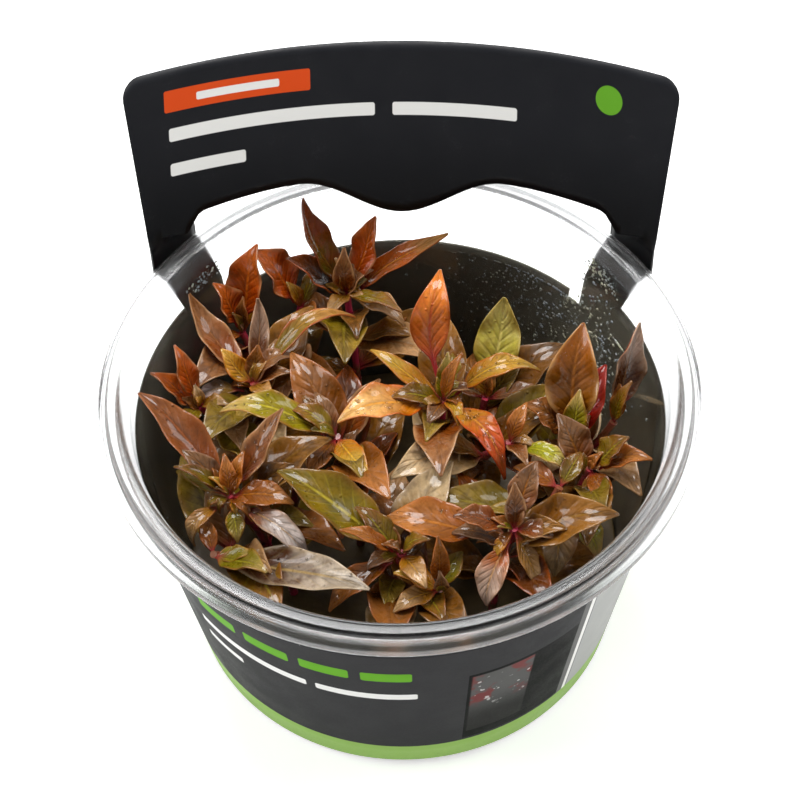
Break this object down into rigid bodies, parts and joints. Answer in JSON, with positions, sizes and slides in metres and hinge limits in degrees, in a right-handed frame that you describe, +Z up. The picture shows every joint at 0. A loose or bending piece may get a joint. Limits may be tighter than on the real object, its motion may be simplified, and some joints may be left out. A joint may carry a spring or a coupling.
{
  "type": "aquarium plant in culture cup",
  "caption": "Reddish lance-leaved aquarium stem plant growing on gel in a clear tapered cup, with a printed card sleeve that rises as a header behind it.",
  "frame": {"origin": "centre of the cup's foot, on the level that it stands on", "axes": "+Z up along the cup's axis, +Y towards the header at the back, +X to the right as seen from the front"},
  "size_m": [0.104, 0.104, 0.0938],
  "materials": {
    "clear_plastic": "gloss",
    "label_card": "satin",
    "growing_gel": "gloss",
    "leaf": "satin",
    "stem": "satin"
  },
  "bodies": {
    "root": {"cup": "clear_plastic", "gel": "growing_gel", "label": "label_card", "leaf_back_1": "leaf", "leaf_back_2": "leaf", "leaf_back_3": "leaf", "leaf_back_4": "leaf", "leaf_back_5": "leaf", "leaf_back_left_1": "leaf", "leaf_back_left_2": "leaf", "leaf_back_left_inner_1": "leaf", "leaf_centre_1": "leaf", "leaf_centre_2": "leaf", "leaf_centre_3": "leaf", "leaf_centre_4": "leaf", "leaf_centre_right_1": "leaf", "leaf_front_1": "leaf", "leaf_front_2": "leaf", "leaf_front_3": "leaf", "leaf_front_left_1": "leaf", "leaf_front_left_2": "leaf", "leaf_front_left_3": "leaf", "leaf_front_left_4": "leaf", "leaf_front_left_5": "leaf", "leaf_front_left_6": "leaf", "leaf_front_left_low_1": "leaf", "leaf_front_low_1": "leaf", "leaf_front_right_1": "leaf", "leaf_front_right_2": "leaf", "leaf_front_right_3": "leaf", "leaf_front_right_4": "leaf", "leaf_front_right_low_1": "leaf", "leaf_front_right_low_2": "leaf", "leaf_left_1": "leaf", "leaf_left_2": "leaf", "leaf_left_3": "leaf", "leaf_left_4": "leaf", "leaf_left_edge_1": "leaf", "leaf_left_edge_2": "leaf", "leaf_middle_back_1": "leaf", "leaf_middle_left_1": "leaf", "leaf_middle_left_2": "leaf", "leaf_right_1": "leaf", "leaf_right_2": "leaf", "leaf_right_3": "leaf", "leaf_right_edge_1": "leaf", "leaf_right_low_1": "leaf", "leaf_right_low_2": "leaf", "leaf_right_low_3": "leaf", "stem_back": "stem", "stem_back_left": "stem", "stem_centre": "stem", "stem_front": "stem", "stem_front_left": "stem", "stem_front_right": "stem", "stem_left": "stem", "stem_middle_back": "stem", "stem_middle_left": "stem", "stem_right": "stem", "stem_right_low": "stem"}
  },
  "joints": []
}
